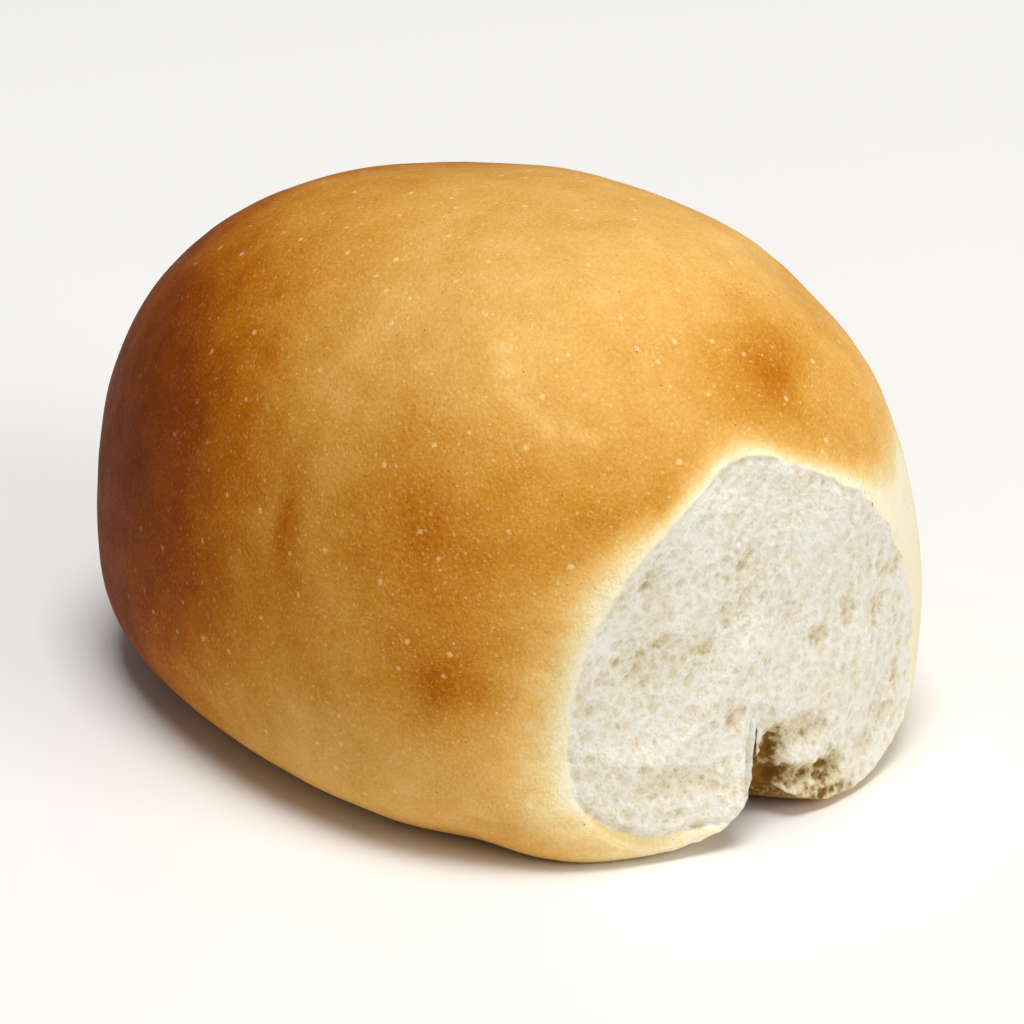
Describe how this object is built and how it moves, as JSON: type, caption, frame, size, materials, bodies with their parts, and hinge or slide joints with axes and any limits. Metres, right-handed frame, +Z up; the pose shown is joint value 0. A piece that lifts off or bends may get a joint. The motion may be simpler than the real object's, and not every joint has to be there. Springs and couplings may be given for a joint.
{
  "type": "bread roll",
  "caption": "Soft white bread roll with a thin golden crust, torn open at one end to show white crumb, with a seam notch between two lobes, on a flat base.",
  "frame": {"origin": "under the middle of the roll's box, on the surface that it rests on", "axes": "+X along the roll towards its torn end, +Z up from the flat base"},
  "size_m": [0.1068, 0.0836, 0.0691],
  "materials": {
    "crust": "satin golden-brown crust, with matte white crumb on the torn end"
  },
  "bodies": {
    "root": {"bread_roll": "crust"}
  },
  "joints": []
}
